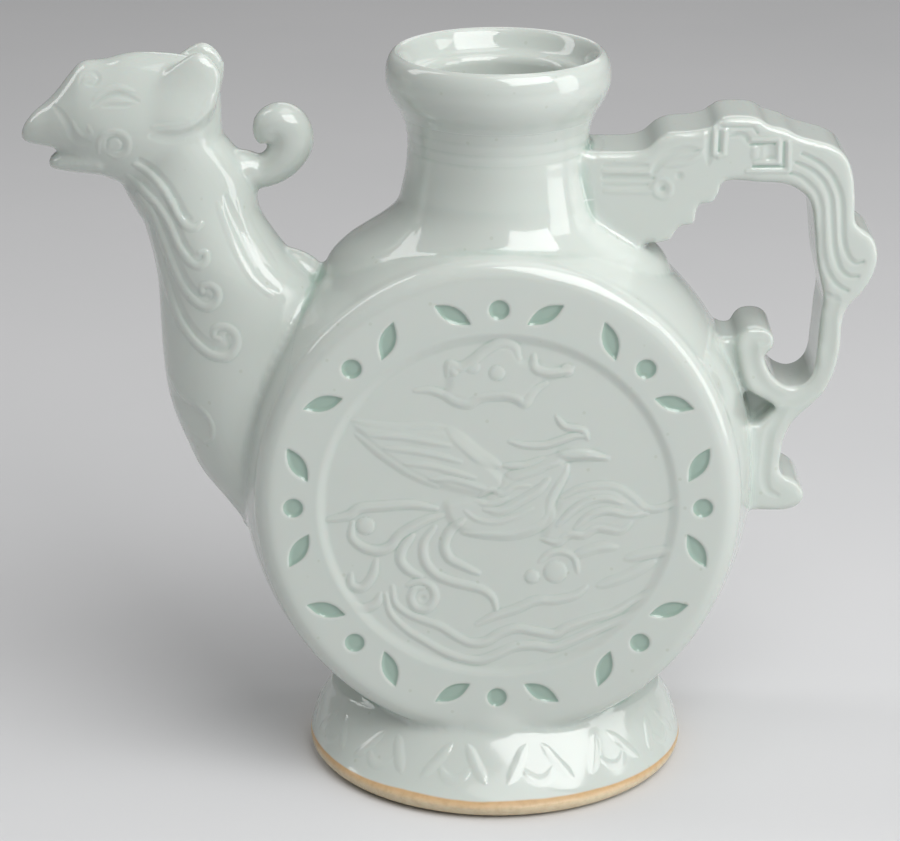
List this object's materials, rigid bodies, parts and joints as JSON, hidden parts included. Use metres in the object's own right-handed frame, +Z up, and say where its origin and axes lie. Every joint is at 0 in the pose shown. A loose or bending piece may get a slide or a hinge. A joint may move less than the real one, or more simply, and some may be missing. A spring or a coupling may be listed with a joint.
{
  "type": "spouted moon-flask ewer",
  "caption": "Glazed celadon moon-flask ewer with a bird-headed spout, rolled mouth, flared foot, round relief panels and a fretted, ribbed strap handle.",
  "frame": {"origin": "centre of the bounding box in plan, at the height of the foot's standing edge", "axes": "+Z up; +X from the beak towards the handle; the front of the flask faces -Y"},
  "size_m": [0.2302, 0.1056, 0.2032],
  "materials": {
    "celadon_glaze": "glossy, slightly translucent celadon glaze, darker green where it pools",
    "foot_glaze": "glossy celadon glaze that stops short of an unglazed, buff standing edge"
  },
  "bodies": {
    "root": {"front_shell": "celadon_glaze", "back_shell": "celadon_glaze", "front_medallion": "celadon_glaze", "back_medallion": "celadon_glaze", "neck": "celadon_glaze", "mouth_rim": "celadon_glaze", "foot_ring": "foot_glaze", "spout_front_half": "celadon_glaze", "spout_back_half": "celadon_glaze", "bird_head": "celadon_glaze", "lower_beak": "celadon_glaze", "near_ear": "celadon_glaze", "far_ear": "celadon_glaze", "crest_plume": "celadon_glaze", "nape_curl": "celadon_glaze", "handle_bracket": "celadon_glaze", "handle_strap": "celadon_glaze", "handle_scroll": "celadon_glaze", "handle_tail": "celadon_glaze"}
  },
  "joints": []
}
